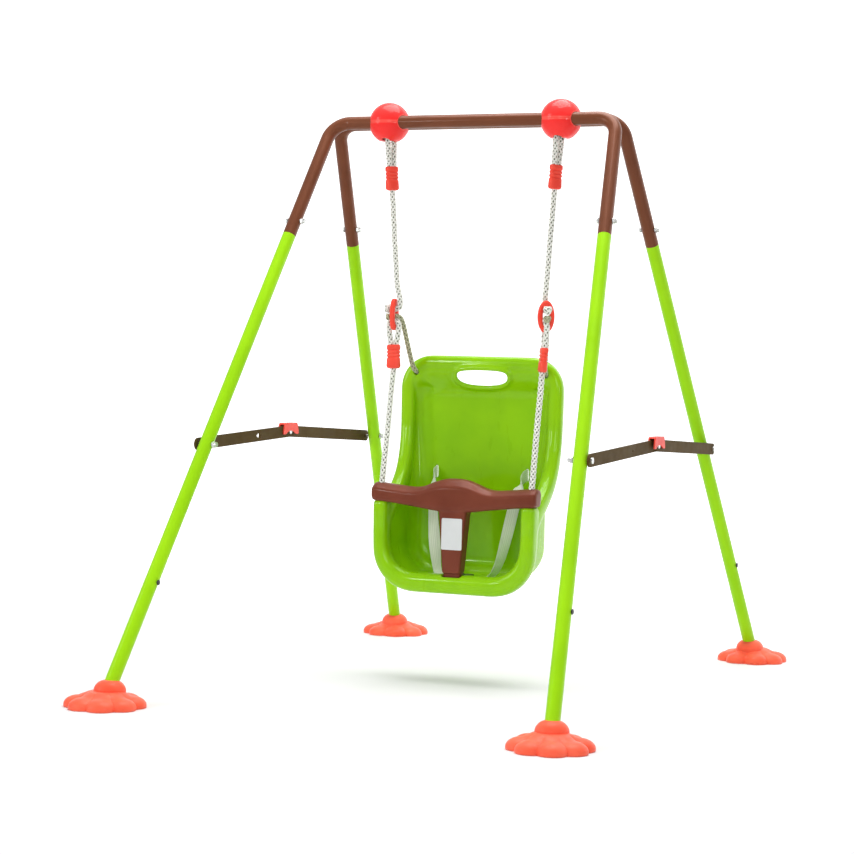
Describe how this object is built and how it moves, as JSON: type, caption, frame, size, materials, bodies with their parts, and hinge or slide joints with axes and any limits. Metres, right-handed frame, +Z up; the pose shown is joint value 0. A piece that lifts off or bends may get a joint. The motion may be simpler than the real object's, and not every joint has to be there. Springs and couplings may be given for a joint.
{
  "type": "baby swing",
  "caption": "Free-standing toddler swing: folding A-frame of painted tube with flower feet, bucket seat with T-bar and lap belt, hung on ropes.",
  "frame": {"origin": "centre of the footprint, on the ground plane under the middle of the beam", "axes": "+Z up, +X across the beam to the sitter's left, -Y towards the front, where the sitter faces"},
  "size_m": [1.0598, 1.5318, 1.2295],
  "materials": {
    "brown_paint": "glossy brown powder coat",
    "lime_paint": "glossy lime powder coat",
    "dark_brown_paint": "satin dark brown paint",
    "zinc": "zinc plated",
    "black_plastic": "matte",
    "salmon_plastic": "moulded, soft gloss",
    "coral_plastic": "moulded, glossy",
    "red_plastic": "moulded, soft gloss",
    "rope": "twisted polyethylene rope",
    "olive_rope": "twisted polyethylene rope, darker fleck",
    "webbing": "woven strap",
    "seat_plastic": "blow-moulded, semi gloss",
    "buckle_plastic": "moulded, satin",
    "t_bar_plastic": "moulded, semi gloss",
    "label": "blank sticker"
  },
  "bodies": {
    "front_frame": {"front_beam_tube": "brown_paint", "front_cap_nuts": "zinc", "front_foot_base_left": "salmon_plastic", "front_foot_base_right": "salmon_plastic", "front_foot_dome_left": "salmon_plastic", "front_foot_dome_right": "salmon_plastic", "front_foot_screws": "zinc", "front_frame_bolts": "zinc", "front_leg_plugs": "black_plastic", "front_lower_leg_left": "lime_paint", "front_lower_leg_right": "lime_paint", "front_upper_leg_left": "lime_paint", "front_upper_leg_right": "lime_paint"},
    "back_frame": {"back_beam_tube": "brown_paint", "back_cap_nuts": "zinc", "back_foot_base_left": "salmon_plastic", "back_foot_base_right": "salmon_plastic", "back_foot_dome_left": "salmon_plastic", "back_foot_dome_right": "salmon_plastic", "back_foot_screws": "zinc", "back_frame_bolts": "zinc", "back_leg_plugs": "black_plastic", "back_lower_leg_left": "lime_paint", "back_lower_leg_right": "lime_paint", "back_upper_leg_left": "lime_paint", "back_upper_leg_right": "lime_paint"},
    "hinge_balls": {"ball_lower_shell_left": "coral_plastic", "ball_lower_shell_right": "coral_plastic", "ball_screws": "zinc", "ball_upper_shell_left": "coral_plastic", "ball_upper_shell_right": "coral_plastic", "hanger_pins": "zinc"},
    "front_braces": {"brace_bar_front_left": "dark_brown_paint", "brace_bar_front_right": "dark_brown_paint", "brace_middle_rivets": "zinc"},
    "rear_braces": {"brace_bar_rear_left": "dark_brown_paint", "brace_bar_rear_right": "dark_brown_paint", "brace_rear_studs": "zinc"},
    "clip_left": {"lock_clip_left": "red_plastic"},
    "clip_right": {"lock_clip_right": "red_plastic"},
    "hanger": {"main_rope_left": "rope", "main_rope_right": "rope", "upper_clamp_left": "red_plastic", "upper_clamp_right": "red_plastic"},
    "seat": {"buckle_body": "buckle_plastic", "buckle_tongue": "buckle_plastic", "front_rope_left": "rope", "front_rope_right": "rope", "lap_belt_left": "webbing", "lap_belt_right": "webbing", "lower_clamp_left": "red_plastic", "lower_clamp_right": "red_plastic", "rear_rope_left": "olive_rope", "rear_rope_right": "olive_rope", "ring_left": "red_plastic", "ring_right": "red_plastic", "seat_shell": "seat_plastic"},
    "t_bar": {"t_bar": "t_bar_plastic", "blank_label": "label"}
  },
  "joints": [
    {"name": "fold", "type": "hinge", "parent": "front_frame", "child": "hinge_balls", "pos_m": [0, -0.0145, 1.186], "axis": [-1, 0, 0], "range_deg": [0, 27]},
    {"name": "fold_back", "type": "hinge", "parent": "hinge_balls", "child": "back_frame", "pos_m": [0, 0.0145, 1.186], "axis": [-1, 0, 0], "range_deg": [0, 27.5]},
    {"name": "brace_front", "type": "hinge", "parent": "front_frame", "child": "front_braces", "pos_m": [0, -0.41103, 0.49986], "axis": [1, 0, 0], "range_deg": [0, 53.2]},
    {"name": "brace_rear", "type": "hinge", "parent": "front_braces", "child": "rear_braces", "pos_m": [0, 0, 0.51786], "axis": [-1, 0, 0], "range_deg": [0, 160.1]},
    {"name": "clip_lift_left", "type": "slide", "parent": "front_braces", "child": "clip_left", "axis": [0, 0, 1], "range_m": [0, 0.028]},
    {"name": "clip_lift_right", "type": "slide", "parent": "front_braces", "child": "clip_right", "axis": [0, 0, 1], "range_m": [0, 0.028]},
    {"name": "swing", "type": "hinge", "parent": "hinge_balls", "child": "hanger", "pos_m": [0, 0, 1.159], "axis": [1, 0, 0], "range_deg": [-30, 30]},
    {"name": "seat_tilt", "type": "hinge", "parent": "hanger", "child": "seat", "pos_m": [0, 0, 0.7884], "axis": [1, 0, 0], "range_deg": [-10, 10]},
    {"name": "t_bar_lift", "type": "slide", "parent": "seat", "child": "t_bar", "axis": [0, 0.1792, 0.9838], "range_m": [0, 0.14]}
  ],
  "couplings": [
    {"joint": "fold_back", "follows": "fold", "ratio": 1},
    {"joint": "brace_front", "follows": "fold", "ratio": 1.9491},
    {"joint": "brace_rear", "follows": "fold", "ratio": 5.8982}
  ]
}
